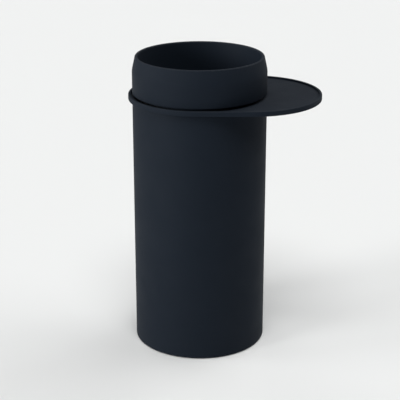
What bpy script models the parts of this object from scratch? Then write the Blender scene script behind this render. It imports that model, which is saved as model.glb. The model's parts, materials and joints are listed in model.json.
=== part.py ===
"""Free-standing ashtray bin: a round steel body with a liner bucket inside, a lift-off head ring, and
between the two a swivelling ash tray that overhangs on one side.

Origin on the body's axis at the floor, +Z up, +X towards the overhanging end of the ash tray.
"""

import math

import bmesh
import bpy
from mathutils import Vector

MM = 0.001

# Driving dimensions
FIT_GAP = 0.3 * MM  # between faces that touch on the real object
PAST = 3 * MM  # how far a cutter runs past the wall that it cuts
SHEET = 2.0 * MM  # rolled sheet of the body
BODY_R = 150 * MM
BODY_FOOT_Z = 2 * MM
BODY_TOP_Z = 576 * MM
FLANGE_HOLE_R = 118 * MM  # the opening that the liner hangs through
HEAD_TOP_Z = 670 * MM
HEAD_FOOT_Z = 588 * MM
BORE_R = 136.7 * MM
TRAY_R = 159 * MM
TRAY_OFFSET = 113 * MM  # from the body's axis to the centre of the lobe
TRAY_TOP_Z = 585 * MM
TRAY_DEPTH = 4 * MM
TRAY_WALL = 6 * MM

# How finely round shapes are cut
RING_STEPS = 80
TRAY_STEPS = 120
LINER_STEPS = 60
BASE_STEPS = 60
WASHER_STEPS = 24
SMALL_STEPS = 12
RIVET_STEPS = 10
LUG_STEPS = 8
GRIP_STEPS = 8
BAIL_STEPS = 34
EDGE_POINTS = 3
BLEND_POINTS = 4
RIM_POINTS = 7
SHARP_EDGE = math.radians(32)

# Body shell and base
SHELL_TOP_EDGE = 2 * MM
SHELL_FOOT_EDGE = 1.5 * MM
PAD_R = 130 * MM
PAD_TOP_Z = 4 * MM
PAD_EDGE = 1 * MM
FOOT_RETURN_R = 132 * MM
BASE_R = BODY_R - SHEET - 0.5 * MM
BASE_BOTTOM_Z = BODY_FOOT_Z + SHEET + FIT_GAP
BASE_TOP_Z = BASE_BOTTOM_Z + 3 * MM
BASE_SCREW_PITCH_R = 140 * MM
ANCHOR_PITCH_R = 116 * MM
ANCHOR_HOLE_R = 5.5 * MM
ANCHOR_COUNT = 3
STUD_R = 6 * MM
STUD_TOP_Z = 73 * MM
STUD_TIP = 1 * MM
BALLAST_R = 102 * MM
BALLAST_BOTTOM_Z = BASE_TOP_Z + FIT_GAP
BALLAST_TOP_Z = BALLAST_BOTTOM_Z + 48 * MM
BALLAST_EDGE = 4 * MM
BALLAST_BORE_R = STUD_R + 1.5 * MM
WASHER_R = 15 * MM
WASHER_BOTTOM_Z = BALLAST_TOP_Z + FIT_GAP
WASHER_TOP_Z = WASHER_BOTTOM_Z + 2.5 * MM
BALLAST_NUT_BOTTOM_Z = WASHER_TOP_Z + FIT_GAP
BALLAST_NUT_HEIGHT = 10 * MM
BALLAST_NUT_ACROSS = 18 * MM

# Screws and nuts
SCREW_R = 2.5 * MM
SCREW_HOLE_R = SCREW_R + FIT_GAP
SCREW_HEAD_R = 4.8 * MM
SCREW_SOCKET_ACROSS = 3 * MM
SCREW_SOCKET_DEPTH = 1.6 * MM
BUTTON_HEAD_HEIGHT = 2.7 * MM
BUTTON_HEAD_SIDE = 1.1 * MM
BUTTON_HEAD_TOP_R = 3 * MM
COUNTERSUNK_HEIGHT = 2.2 * MM
NUT_ACROSS = 8 * MM
NUT_HEIGHT = 4 * MM
FASTENER_COUNT = 4
FASTENER_START_DEG = 45

# Neck, which carries the head and the liner
NECK_OUT_R = 136 * MM
NECK_IN_R = 133.5 * MM
NECK_TOP_Z = 597 * MM
NECK_BOTTOM_Z = BODY_TOP_Z + FIT_GAP
NECK_FLANGE_TOP_Z = NECK_BOTTOM_Z + 3 * MM
SHOULDER_R = 141 * MM
SHOULDER_TOP_Z = 585.7 * MM
SHOULDER_BOTTOM_Z = SHOULDER_TOP_Z - 2.4 * MM
NECK_SCREW_PITCH_R = 126 * MM
NECK_SCREW_LENGTH = 12.9 * MM
NECK_EDGE = 0.8 * MM
SEAL_TOP_Z = SHOULDER_TOP_Z + FIT_GAP + 2.3 * MM

# Ash tray and the bush that it turns on
TRAY_FOOT_Z = 574 * MM
TRAY_FLOOR_Z = TRAY_TOP_Z - TRAY_DEPTH
TRAY_UNDER_Z = TRAY_FLOOR_Z - 2.5 * MM
TRAY_HOLE_R = 143 * MM
TRAY_TOP_EDGE = 1.2 * MM
TRAY_INNER_EDGE = 0.6 * MM
TRAY_FILLET = 1.0 * MM
CORNER_MIDDLE = 1 - math.sqrt(0.5)  # how far in a round corner's middle lies, as a share of its radius
BUSH_R = 149 * MM

# Head ring
LIP_R = 3.5 * MM
LIP_CENTRE_R = BORE_R + LIP_R
LIP_CENTRE_Z = HEAD_TOP_Z - LIP_R
HEAD_SKIN = 1.5 * MM
HEAD_HEM = 0.5 * MM
HEAD_TAPER = math.radians(12.5)
HEAD_INNER_FOOT_Z = SEAL_TOP_Z + FIT_GAP
SHOULDER_BLEND = 6 * MM

# Liner bucket and its bail
LINER_FOOT_Z = 80 * MM
LINER_FOOT_R = 106 * MM
LINER_TOP_R = 114.5 * MM
LINER_SHEET = 1.2 * MM
LINER_FLOOR_Z = LINER_FOOT_Z + 5 * MM
LINER_FLANGE_Z = NECK_FLANGE_TOP_Z + FIT_GAP
# Bends of the liner's sheet, as points (outwards from the wall, up from the flange or the floor)
LINER_OUTER_BEND = ((0, -4 * MM), (1.2 * MM, -1 * MM), (3 * MM, 0))
LINER_INNER_BEND = ((2.7 * MM, 0), (0.8 * MM, -1.5 * MM), (0, -5.2 * MM))
LINER_FLOOR_BEND = ((0.1 * MM, 2.8 * MM), (-3 * MM, 0))
RIM_BEAD_R = 2.5 * MM
RIM_CENTRE_R = 129.2 * MM
BAIL_R = 112 * MM
BAIL_Z = 588 * MM
BAIL_KNEE = 2.2 * MM
BAIL_BEND_DEG = 3.5  # the part of each quarter of the hoop that its knee takes up
WIRE_R = 2.3 * MM
GRIP_R = 6 * MM
GRIP_BORE_R = WIRE_R + 0.4 * MM
GRIP_EDGE = 1 * MM
GRIP_EDGE_DEG = 0.7
GRIP_HALF_DEG = 26
EAR_FACE_Y = 117 * MM
EAR_SHEET = 2 * MM
EAR_HALF_X = 13 * MM
EAR_BOTTOM_Z = LINER_FLANGE_Z + LINER_SHEET + FIT_GAP
EAR_RIVET_X = 8.5 * MM
EAR_RIVET_Y = 122.2 * MM
EAR_OUTER_Y = 125.2 * MM
EAR_LUG_R = 5.5 * MM
EAR_PIN_HOLE_R = WIRE_R + 0.5 * MM
RIVET_R = 1.5 * MM
RIVET_DOME = ((2.6 * MM, 0), (2.2 * MM, 0.9 * MM), (1.1 * MM, 1.4 * MM))  # radius, height over the seat
RIVET_HOLE_R = 1.9 * MM
BAIL_END_Y = 124 * MM


def clear_scene():
    for obj in list(bpy.data.objects):
        bpy.data.objects.remove(obj, do_unlink=True)


def material(name, colour, roughness, metallic):
    made = bpy.data.materials.new(name)
    made.use_nodes = True
    shader = made.node_tree.nodes["Principled BSDF"]
    shader.inputs["Base Color"].default_value = (*colour, 1.0)
    shader.inputs["Roughness"].default_value = roughness
    shader.inputs["Metallic"].default_value = metallic
    made.diffuse_color = (*colour, 1.0)
    return made


def world_place(obj):
    """Where an object that is only moved, never turned, sits under its parents."""
    total = Vector()
    while obj is not None:
        total += obj.location
        obj = obj.parent
    return total


def node_from(name, mesh_data, surface, parent=None):
    """An object from a mesh in world coordinates, with its origin at its parent's pivot."""
    origin = world_place(parent)
    bmesh.ops.recalc_face_normals(mesh_data, faces=mesh_data.faces)
    bmesh.ops.translate(mesh_data, vec=-origin, verts=mesh_data.verts)
    mesh = bpy.data.meshes.new(name)
    mesh_data.to_mesh(mesh)
    mesh_data.free()
    mesh.shade_smooth()
    mesh.set_sharp_from_angle(angle=SHARP_EDGE)
    mesh.materials.append(surface)
    obj = bpy.data.objects.new(name, mesh)
    bpy.context.collection.objects.link(obj)
    obj.parent = parent
    return obj


def pivot(name, location, parent=None):
    """An empty on a joint's axis, which the pieces of one moving body hang from."""
    empty = bpy.data.objects.new(name, None)
    bpy.context.collection.objects.link(empty)
    empty.location = Vector(location) - world_place(parent)
    empty.parent = parent
    return empty


def circle(radius, z, steps=RING_STEPS, centre=(0.0, 0.0)):
    return [
        Vector((centre[0] + radius * math.cos(turn), centre[1] + radius * math.sin(turn), z))
        for turn in (math.tau * i / steps for i in range(steps))
    ]


def loops_of(profile, steps=RING_STEPS, centre=(0.0, 0.0)):
    """One circle for each (radius, z) point of a turned profile."""
    return [circle(radius, z, steps, centre) for radius, z in profile]


def hexagon(across_flats, z, centre, steps=SMALL_STEPS):
    """A hexagon walked in equal turns, with each corner and each middle of a side on the way."""
    loop = []
    for i in range(steps):
        turn = math.tau * i / steps
        from_middle = (turn + math.pi / 6) % (math.pi / 3) - math.pi / 6
        reach = across_flats / 2 / math.cos(from_middle)
        loop.append(Vector((centre[0] + reach * math.cos(turn), centre[1] + reach * math.sin(turn), z)))
    return loop


def loft(loops, capped):
    """A closed body through loops of equally many points: a ring, or a plug when capped."""
    built = bmesh.new()
    rows = [[built.verts.new(point) for point in loop] for loop in loops]
    pairs = list(zip(rows, rows[1:]))
    if not capped:
        pairs.append((rows[-1], rows[0]))
    for low, high in pairs:
        for i in range(len(low)):
            after = (i + 1) % len(low)
            built.faces.new((low[i], low[after], high[after], high[i]))
    if capped:
        built.faces.new(rows[0])
        built.faces.new(rows[-1])
    return built


def ring(name, profile, surface, steps=RING_STEPS, parent=None):
    return node_from(name, loft(loops_of(profile, steps), capped=False), surface, parent)


def disc(name, profile, surface, steps=RING_STEPS, parent=None):
    """A turned body whose first and last points close over the axis."""
    return node_from(name, loft(loops_of(profile, steps), capped=True), surface, parent)


def round_corner(corner, start, end, reach, points=EDGE_POINTS):
    """Points that turn a profile's corner smoothly, leaving each side reach before the corner."""
    corner, start, end = Vector(corner), Vector(start), Vector(end)
    first = corner + (start - corner).normalized() * reach
    last = corner + (end - corner).normalized() * reach
    turn = []
    for i in range(points):
        t = i / (points - 1)
        turn.append(tuple(first * (1 - t) ** 2 + corner * 2 * t * (1 - t) + last * t**2))
    return turn


def arc(centre, radius, start_deg, end_deg, points):
    """Points of a profile's arc, from start to end."""
    found = []
    for i in range(points):
        turn = math.radians(start_deg + (end_deg - start_deg) * i / (points - 1))
        found.append((centre[0] + radius * math.cos(turn), centre[1] + radius * math.sin(turn)))
    return found


def around(count, pitch_r, start_deg):
    """Centres of equally spaced fasteners or holes on a pitch circle."""
    turns = [math.radians(start_deg + 360 * i / count) for i in range(count)]
    return [(pitch_r * math.cos(turn), pitch_r * math.sin(turn)) for turn in turns]


def cut(target, name, loops):
    """Takes a capped cutter out of target."""
    cutter = node_from(name, loft(loops, capped=True), None)
    cutter.hide_render = True
    cutter.display_type = "WIRE"
    modifier = target.modifiers.new(name, "BOOLEAN")
    modifier.operation = "DIFFERENCE"
    modifier.solver = "EXACT"
    modifier.object = cutter


def drill(target, name, centre, radius, low_z, high_z, steps=SMALL_STEPS):
    """A round hole through a wall that lies between two heights."""
    cut(target, name, [circle(radius, z, steps, centre) for z in (low_z - PAST, high_z + PAST)])


def body_shell(paint):
    inside = BODY_R - SHEET
    outer_top, outer_foot = (BODY_R, BODY_TOP_Z), (BODY_R, BODY_FOOT_Z)
    profile = [
        (FLANGE_HOLE_R, BODY_TOP_Z),
        *round_corner(outer_top, (FLANGE_HOLE_R, BODY_TOP_Z), outer_foot, SHELL_TOP_EDGE),
        *round_corner(outer_foot, outer_top, (FOOT_RETURN_R, BODY_FOOT_Z), SHELL_FOOT_EDGE),
        (FOOT_RETURN_R, BODY_FOOT_Z),
        (FOOT_RETURN_R, BODY_FOOT_Z + SHEET),
        (inside, BODY_FOOT_Z + SHEET),
        (inside, BODY_TOP_Z - SHEET),
        (FLANGE_HOLE_R, BODY_TOP_Z - SHEET),
    ]
    shell = ring("body_shell", profile, paint)
    for i, centre in enumerate(around(FASTENER_COUNT, BASE_SCREW_PITCH_R, FASTENER_START_DEG), 1):
        drill(shell, f"shell_foot_hole_{i}", centre, SCREW_HOLE_R, BODY_FOOT_Z, BODY_FOOT_Z + SHEET)
    for i, centre in enumerate(around(FASTENER_COUNT, NECK_SCREW_PITCH_R, FASTENER_START_DEG), 1):
        drill(shell, f"shell_top_hole_{i}", centre, SCREW_HOLE_R, BODY_TOP_Z - SHEET, BODY_TOP_Z)


def base_plate(steel):
    """The floor of the body, with a stud that holds the ballast down."""
    profile = [
        (BASE_R, BASE_BOTTOM_Z),
        (BASE_R, BASE_TOP_Z),
        (STUD_R, BASE_TOP_Z),
        (STUD_R, STUD_TOP_Z - STUD_TIP),
        (STUD_R - STUD_TIP, STUD_TOP_Z),
    ]
    plate = disc("base_plate", profile, steel, BASE_STEPS)
    for i, centre in enumerate(around(ANCHOR_COUNT, ANCHOR_PITCH_R, 0), 1):
        drill(plate, f"plate_anchor_hole_{i}", centre, ANCHOR_HOLE_R, BASE_BOTTOM_Z, BASE_TOP_Z)
    for i, centre in enumerate(around(FASTENER_COUNT, BASE_SCREW_PITCH_R, FASTENER_START_DEG), 1):
        drill(plate, f"plate_screw_hole_{i}", centre, SCREW_HOLE_R, BASE_BOTTOM_Z, BASE_TOP_Z)


def floor_pad(rubber):
    profile = [(PAD_R - PAD_EDGE, 0), (PAD_R, PAD_EDGE), (PAD_R, PAD_TOP_Z)]
    pad = disc("floor_pad", profile, rubber, BASE_STEPS)
    for i, centre in enumerate(around(ANCHOR_COUNT, ANCHOR_PITCH_R, 0), 1):
        drill(pad, f"pad_anchor_hole_{i}", centre, ANCHOR_HOLE_R + PAD_EDGE, 0, PAD_TOP_Z)


def socket(target, name, centre, top_z):
    """A hexagonal key socket sunk into a screw's head from its top."""
    depths = (top_z - SCREW_SOCKET_DEPTH, top_z + PAST)
    cut(target, name, [hexagon(SCREW_SOCKET_ACROSS, z, centre, 6) for z in depths])


def base_screws(steel):
    """Button-head screws down through the base plate into the shell's foot return."""
    seat_z = BASE_TOP_Z + FIT_GAP
    top_z = seat_z + BUTTON_HEAD_HEIGHT
    profile = [
        (SCREW_R, BODY_FOOT_Z + 2 * FIT_GAP),
        (SCREW_R, seat_z),
        (SCREW_HEAD_R, seat_z),
        (SCREW_HEAD_R, seat_z + BUTTON_HEAD_SIDE),
        (BUTTON_HEAD_TOP_R, top_z),
    ]
    for i, centre in enumerate(around(FASTENER_COUNT, BASE_SCREW_PITCH_R, FASTENER_START_DEG), 1):
        screw = node_from(f"base_screw_{i}", loft(loops_of(profile, SMALL_STEPS, centre), True), steel)
        socket(screw, f"base_screw_socket_{i}", centre, top_z)


def ballast(concrete, steel):
    block = [
        (BALLAST_BORE_R, BALLAST_BOTTOM_Z),
        (BALLAST_R, BALLAST_BOTTOM_Z),
        (BALLAST_R, BALLAST_TOP_Z - BALLAST_EDGE),
        (BALLAST_R - BALLAST_EDGE, BALLAST_TOP_Z),
        (BALLAST_BORE_R, BALLAST_TOP_Z),
    ]
    ring("ballast_block", block, concrete, BASE_STEPS)
    bore_r = STUD_R + FIT_GAP
    washer = [
        (bore_r, WASHER_BOTTOM_Z),
        (WASHER_R, WASHER_BOTTOM_Z),
        (WASHER_R, WASHER_TOP_Z),
        (bore_r, WASHER_TOP_Z),
    ]
    ring("ballast_washer", washer, steel, WASHER_STEPS)
    nut("ballast_nut", (0, 0), BALLAST_NUT_BOTTOM_Z, BALLAST_NUT_HEIGHT, BALLAST_NUT_ACROSS, bore_r, steel)


def nut(name, centre, bottom_z, height, across_flats, bore_r, surface):
    top_z = bottom_z + height
    loops = [
        circle(bore_r, bottom_z, SMALL_STEPS, centre),
        hexagon(across_flats, bottom_z, centre),
        hexagon(across_flats, top_z, centre),
        circle(bore_r, top_z, SMALL_STEPS, centre),
    ]
    node_from(name, loft(loops, capped=False), surface)


def neck_ring(paint):
    """Flange, riser and shoulder that carry the head outside and the liner inside."""
    profile = [
        (FLANGE_HOLE_R, NECK_BOTTOM_Z),
        (NECK_OUT_R, NECK_BOTTOM_Z),
        (NECK_OUT_R, SHOULDER_BOTTOM_Z),
        (SHOULDER_R, SHOULDER_BOTTOM_Z),
        (SHOULDER_R, SHOULDER_TOP_Z),
        (NECK_OUT_R, SHOULDER_TOP_Z),
        (NECK_OUT_R, NECK_TOP_Z - NECK_EDGE),
        (NECK_OUT_R - NECK_EDGE, NECK_TOP_Z),
        (NECK_IN_R + NECK_EDGE, NECK_TOP_Z),
        (NECK_IN_R, NECK_TOP_Z - NECK_EDGE),
        (NECK_IN_R, NECK_FLANGE_TOP_Z),
        (FLANGE_HOLE_R, NECK_FLANGE_TOP_Z),
    ]
    collar = ring("neck_ring", profile, paint)
    cone_r = SCREW_HEAD_R + 1.5 * FIT_GAP
    countersink = [
        (SCREW_HOLE_R, NECK_BOTTOM_Z - PAST),
        (SCREW_HOLE_R, NECK_FLANGE_TOP_Z - COUNTERSUNK_HEIGHT - 2 * FIT_GAP),
        (cone_r, NECK_FLANGE_TOP_Z),
        (cone_r, NECK_FLANGE_TOP_Z + PAST),
    ]
    for i, centre in enumerate(around(FASTENER_COUNT, NECK_SCREW_PITCH_R, FASTENER_START_DEG), 1):
        cut(collar, f"neck_countersink_{i}", loops_of(countersink, SMALL_STEPS, centre))


def neck_fasteners(steel):
    """Flush screws through the neck's flange and the shell's top, with nuts underneath."""
    head_top = NECK_FLANGE_TOP_Z - FIT_GAP / 3
    profile = [
        (SCREW_R, head_top - NECK_SCREW_LENGTH),
        (SCREW_R, head_top - COUNTERSUNK_HEIGHT),
        (SCREW_HEAD_R, head_top),
    ]
    nut_z = BODY_TOP_Z - SHEET - FIT_GAP - NUT_HEIGHT
    for i, centre in enumerate(around(FASTENER_COUNT, NECK_SCREW_PITCH_R, FASTENER_START_DEG), 1):
        screw = node_from(f"neck_screw_{i}", loft(loops_of(profile, SMALL_STEPS, centre), True), steel)
        socket(screw, f"neck_screw_socket_{i}", centre, head_top)
        nut(f"neck_nut_{i}", centre, nut_z, NUT_HEIGHT, NUT_ACROSS, SCREW_HOLE_R, steel)


def head_seal(rubber):
    low_z = SHOULDER_TOP_Z + FIT_GAP
    inner_r = NECK_OUT_R + FIT_GAP
    profile = [(inner_r, low_z), (SHOULDER_R, low_z), (SHOULDER_R, SEAL_TOP_Z), (inner_r, SEAL_TOP_Z)]
    ring("head_seal", profile, rubber)


def swivel_bush(plastic):
    low = BODY_TOP_Z + FIT_GAP
    step = TRAY_UNDER_Z - FIT_GAP
    inner = NECK_OUT_R + FIT_GAP
    profile = [
        (inner, low),
        (BUSH_R, low),
        (BUSH_R, step),
        (TRAY_HOLE_R - FIT_GAP, step),
        (TRAY_HOLE_R - FIT_GAP, TRAY_FLOOR_Z - FIT_GAP),
        (inner, TRAY_FLOOR_Z - FIT_GAP),
    ]
    ring("swivel_bush", profile, plastic)


def tray_loop(inset, z):
    """The tray's outline, moved inwards by inset: two arcs of one radius joined by straight sides."""
    radius = TRAY_R - inset
    loop = []
    for i in range(TRAY_STEPS):
        turn = math.tau * i / TRAY_STEPS
        along, across = math.cos(turn), math.sin(turn)
        reach = radius
        if along > 0:
            beyond = TRAY_OFFSET * along + math.sqrt(radius**2 - (TRAY_OFFSET * across) ** 2)
            on_lobe = beyond * along >= TRAY_OFFSET
            reach = beyond if on_lobe else radius / abs(across)
        loop.append(Vector((reach * along, reach * across, z)))
    return loop


def ash_tray(paint, parent):
    edge_middle = TRAY_TOP_EDGE * CORNER_MIDDLE
    fillet_middle = TRAY_FILLET * CORNER_MIDDLE
    loops = [
        tray_loop(0, TRAY_FOOT_Z),
        tray_loop(0, TRAY_TOP_Z - TRAY_TOP_EDGE),
        tray_loop(edge_middle, TRAY_TOP_Z - edge_middle),
        tray_loop(TRAY_TOP_EDGE, TRAY_TOP_Z),
        tray_loop(TRAY_WALL - TRAY_INNER_EDGE, TRAY_TOP_Z),
        tray_loop(TRAY_WALL, TRAY_TOP_Z - TRAY_INNER_EDGE),
        tray_loop(TRAY_WALL, TRAY_FLOOR_Z + TRAY_FILLET),
        tray_loop(TRAY_WALL + fillet_middle, TRAY_FLOOR_Z + fillet_middle),
        tray_loop(TRAY_WALL + TRAY_FILLET, TRAY_FLOOR_Z),
        circle(TRAY_HOLE_R, TRAY_FLOOR_Z, TRAY_STEPS),
        circle(TRAY_HOLE_R, TRAY_UNDER_Z, TRAY_STEPS),
        tray_loop(TRAY_WALL, TRAY_UNDER_Z),
        tray_loop(TRAY_WALL, TRAY_FOOT_Z),
    ]
    node_from("ash_tray", loft(loops, capped=False), paint, parent)


def head_ring(paint, parent):
    """Outer skin, tapered shoulder, rolled lip and straight inner skin, hollow between the skins."""
    taper = math.degrees(HEAD_TAPER)
    lip_centre = (LIP_CENTRE_R, LIP_CENTRE_Z)
    lip = arc(lip_centre, LIP_R, taper, 90, BLEND_POINTS) + arc(lip_centre, LIP_R, 90, 180, BLEND_POINTS)[1:]
    cone_r, cone_z = lip[0]
    shoulder_z = cone_z - (BODY_R - cone_r) / math.tan(HEAD_TAPER)
    shoulder = round_corner(
        (BODY_R, shoulder_z), (BODY_R, HEAD_FOOT_Z), (cone_r, cone_z), SHOULDER_BLEND, BLEND_POINTS
    )
    roof_z = LIP_CENTRE_Z - LIP_R
    roof_r = BODY_R - (roof_z - shoulder_z) * math.tan(HEAD_TAPER) - HEAD_SKIN
    profile = [
        (BODY_R - HEAD_HEM, HEAD_FOOT_Z),
        (BODY_R, HEAD_FOOT_Z + HEAD_HEM),
        *shoulder,
        *lip,
        (BORE_R, HEAD_INNER_FOOT_Z),
        (BORE_R + HEAD_SKIN, HEAD_INNER_FOOT_Z),
        (BORE_R + HEAD_SKIN, roof_z),
        (roof_r, roof_z),
        (BODY_R - HEAD_SKIN, shoulder_z),
        (BODY_R - HEAD_SKIN, HEAD_FOOT_Z),
    ]
    ring("head_ring", profile, paint, parent=parent)


def liner_bucket(steel, parent):
    flange_top = LINER_FLANGE_Z + LINER_SHEET
    bead_z = LINER_FLANGE_Z + RIM_BEAD_R
    inner_top_r = LINER_TOP_R - LINER_SHEET
    inner_foot_r = LINER_FOOT_R - LINER_SHEET
    floor_top = LINER_FLOOR_Z + LINER_SHEET
    profile = [
        (inner_foot_r, LINER_FLOOR_Z),
        (inner_foot_r, LINER_FOOT_Z),
        (LINER_FOOT_R, LINER_FOOT_Z),
        *[(LINER_TOP_R + out, LINER_FLANGE_Z + up) for out, up in LINER_OUTER_BEND],
        *arc((RIM_CENTRE_R, bead_z), RIM_BEAD_R, -90, 180, RIM_POINTS),
        (RIM_CENTRE_R - RIM_BEAD_R, flange_top),
        *[(inner_top_r + out, flange_top + up) for out, up in LINER_INNER_BEND],
        *[(inner_foot_r + out, floor_top + up) for out, up in LINER_FLOOR_BEND],
    ]
    bucket = disc("liner_bucket", profile, steel, LINER_STEPS, parent)
    for side in (1, -1):
        for x in (-EAR_RIVET_X, EAR_RIVET_X):
            label = f"rivet_hole_{side}_{'left' if x < 0 else 'right'}"
            centre = (x, side * EAR_RIVET_Y)
            drill(bucket, label, centre, RIVET_HOLE_R, LINER_FLANGE_Z, flange_top, RIVET_STEPS)


def handle_ear(number, side, steel, parent):
    """An angle bracket on the liner's flange: a foot for two rivets and a rounded lug for the bail."""
    outline = [Vector((-EAR_HALF_X, EAR_BOTTOM_Z, 0)), Vector((EAR_HALF_X, EAR_BOTTOM_Z, 0))]
    for i in range(LUG_STEPS + 1):
        turn = math.pi * i / LUG_STEPS
        outline.append(Vector((EAR_LUG_R * math.cos(turn), BAIL_Z + EAR_LUG_R * math.sin(turn), 0)))
    near, far = side * EAR_FACE_Y, side * (EAR_FACE_Y + EAR_SHEET)
    lug = loft([[Vector((p.x, y, p.y)) for p in outline] for y in (near, far)], capped=True)
    ear = node_from(f"handle_ear_{number}", lug, steel, parent)

    corners = [(-EAR_HALF_X, EAR_BOTTOM_Z), (EAR_HALF_X, EAR_BOTTOM_Z)]
    corners += [(x, EAR_BOTTOM_Z + EAR_SHEET) for x in (EAR_HALF_X, -EAR_HALF_X)]
    reach = (side * (EAR_FACE_Y + EAR_SHEET / 2), side * EAR_OUTER_Y)
    foot = node_from(
        f"ear_foot_{number}",
        loft([[Vector((x, y, z)) for x, z in corners] for y in reach], capped=True),
        steel,
    )
    foot.hide_render = True
    foot.display_type = "WIRE"
    joined = ear.modifiers.new("foot", "BOOLEAN")
    joined.operation = "UNION"
    joined.solver = "EXACT"
    joined.object = foot

    pin_hole = circle(EAR_PIN_HOLE_R, 0, SMALL_STEPS)
    hole = [
        [Vector((point.x, y, BAIL_Z + point.y)) for point in pin_hole]
        for y in (near - side * PAST, far + side * PAST)
    ]
    cut(ear, f"ear_pin_hole_{number}", hole)
    for x in (-EAR_RIVET_X, EAR_RIVET_X):
        label = f"ear_rivet_hole_{number}_{'left' if x < 0 else 'right'}"
        foot_top = EAR_BOTTOM_Z + EAR_SHEET
        drill(ear, label, (x, side * EAR_RIVET_Y), RIVET_HOLE_R, EAR_BOTTOM_Z, foot_top, RIVET_STEPS)


def ear_rivets(side, first_number, steel, parent):
    seat = EAR_BOTTOM_Z + EAR_SHEET + FIT_GAP
    rivet = [(RIVET_R, LINER_FLANGE_Z + FIT_GAP / 3), (RIVET_R, seat)]
    rivet += [(radius, seat + height) for radius, height in RIVET_DOME]
    for i, x in enumerate((-EAR_RIVET_X, EAR_RIVET_X)):
        loops = loops_of(rivet, RIVET_STEPS, (x, side * EAR_RIVET_Y))
        name = f"ear_rivet_{first_number + i}"
        node_from(name, loft(loops, capped=True), steel, parent)


def tube_loop(turn, radius):
    """A circle around the bail's centre line, at an angle seen from above."""
    outwards = Vector((math.cos(turn), math.sin(turn), 0))
    centre = outwards * BAIL_R + Vector((0, 0, BAIL_Z))
    return [
        centre + (outwards * math.cos(t) + Vector((0, 0, math.sin(t)))) * radius
        for t in (math.tau * i / SMALL_STEPS for i in range(SMALL_STEPS))
    ]


def liner_handle(steel, parent):
    """A half hoop of wire folded down inside the rim, with its ends turned out through the ears."""
    curve = bpy.data.curves.new("liner_handle", "CURVE")
    curve.dimensions = "3D"
    curve.bevel_depth = WIRE_R
    curve.bevel_resolution = 1
    curve.use_fill_caps = True
    curve.materials.append(steel)
    hoop = arc((0, 0), BAIL_R, 90 + BAIL_BEND_DEG, 270 - BAIL_BEND_DEG, BAIL_STEPS + 1)
    knee = [(0, BAIL_END_Y), (0, BAIL_R + 2 * BAIL_KNEE), (-BAIL_KNEE, BAIL_R)]
    path = knee + hoop + [(x, -y) for x, y in reversed(knee)]
    spline = curve.splines.new("POLY")
    spline.points.add(len(path) - 1)
    for point, (x, y) in zip(spline.points, path):
        point.co = (x, y, 0, 1)
    obj = bpy.data.objects.new("liner_handle", curve)
    bpy.context.collection.objects.link(obj)
    obj.parent = parent


def handle_grip(plastic, parent):
    """A tube round the middle of the bail, with bevelled ends."""
    half = math.radians(GRIP_HALF_DEG)
    turns = [math.pi - half + 2 * half * i / GRIP_STEPS for i in range(GRIP_STEPS + 1)]
    edge = math.radians(GRIP_EDGE_DEG)
    first, last = turns[0], turns[-1]
    loops = [tube_loop(first, GRIP_R - GRIP_EDGE)]
    loops += [tube_loop(turn, GRIP_R) for turn in (first + edge, *turns[1:-1], last - edge)]
    loops += [tube_loop(last, GRIP_R - GRIP_EDGE)]
    loops += [tube_loop(turn, GRIP_BORE_R) for turn in reversed(turns)]
    node_from("handle_grip", loft(loops, capped=False), plastic, parent)


def main():
    clear_scene()
    paint = material("powder_coat_anthracite", (0.021, 0.026, 0.034), 0.5, 0.0)
    steel = material("zinc_plated_steel", (0.52, 0.53, 0.54), 0.38, 1.0)
    rubber = material("black_rubber", (0.015, 0.015, 0.016), 0.8, 0.0)
    plastic = material("black_plastic", (0.02, 0.02, 0.021), 0.5, 0.0)
    concrete = material("cast_concrete", (0.36, 0.35, 0.33), 0.9, 0.0)

    body_shell(paint)
    base_plate(steel)
    floor_pad(rubber)
    base_screws(steel)
    ballast(concrete, steel)
    neck_ring(paint)
    neck_fasteners(steel)
    head_seal(rubber)
    swivel_bush(plastic)

    ash_tray(paint, pivot("tray_pivot", (0, 0, 0)))
    head_ring(paint, pivot("head_slide", (0, 0, HEAD_FOOT_Z)))
    liner = pivot("liner_slide", (0, 0, LINER_FLANGE_Z))
    liner_bucket(steel, liner)
    for number, side in enumerate((1, -1), 1):
        handle_ear(number, side, steel, liner)
        ear_rivets(side, 2 * number - 1, steel, liner)
    bail = pivot("bail_pivot", (0, 0, BAIL_Z), liner)
    liner_handle(steel, bail)
    handle_grip(plastic, bail)


main()
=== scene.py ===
import json
import math

import bmesh
import bpy
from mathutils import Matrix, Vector


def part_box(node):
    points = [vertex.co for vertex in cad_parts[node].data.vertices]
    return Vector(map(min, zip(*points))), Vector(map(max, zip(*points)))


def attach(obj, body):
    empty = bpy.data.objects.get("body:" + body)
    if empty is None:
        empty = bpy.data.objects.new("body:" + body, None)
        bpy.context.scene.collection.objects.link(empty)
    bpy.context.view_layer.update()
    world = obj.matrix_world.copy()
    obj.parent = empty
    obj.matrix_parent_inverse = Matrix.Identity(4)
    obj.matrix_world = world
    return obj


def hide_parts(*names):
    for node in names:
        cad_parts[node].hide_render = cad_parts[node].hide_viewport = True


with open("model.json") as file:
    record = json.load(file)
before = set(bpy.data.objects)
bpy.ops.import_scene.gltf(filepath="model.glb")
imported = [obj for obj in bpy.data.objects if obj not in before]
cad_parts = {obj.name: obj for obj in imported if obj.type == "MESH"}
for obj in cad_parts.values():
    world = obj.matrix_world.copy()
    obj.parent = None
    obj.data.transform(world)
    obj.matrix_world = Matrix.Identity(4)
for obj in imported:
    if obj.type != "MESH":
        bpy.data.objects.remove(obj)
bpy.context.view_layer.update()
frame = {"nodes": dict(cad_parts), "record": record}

MM = 0.001
AXIS = (0.0, 0.0)  # the body's axis, seen from above

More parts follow.
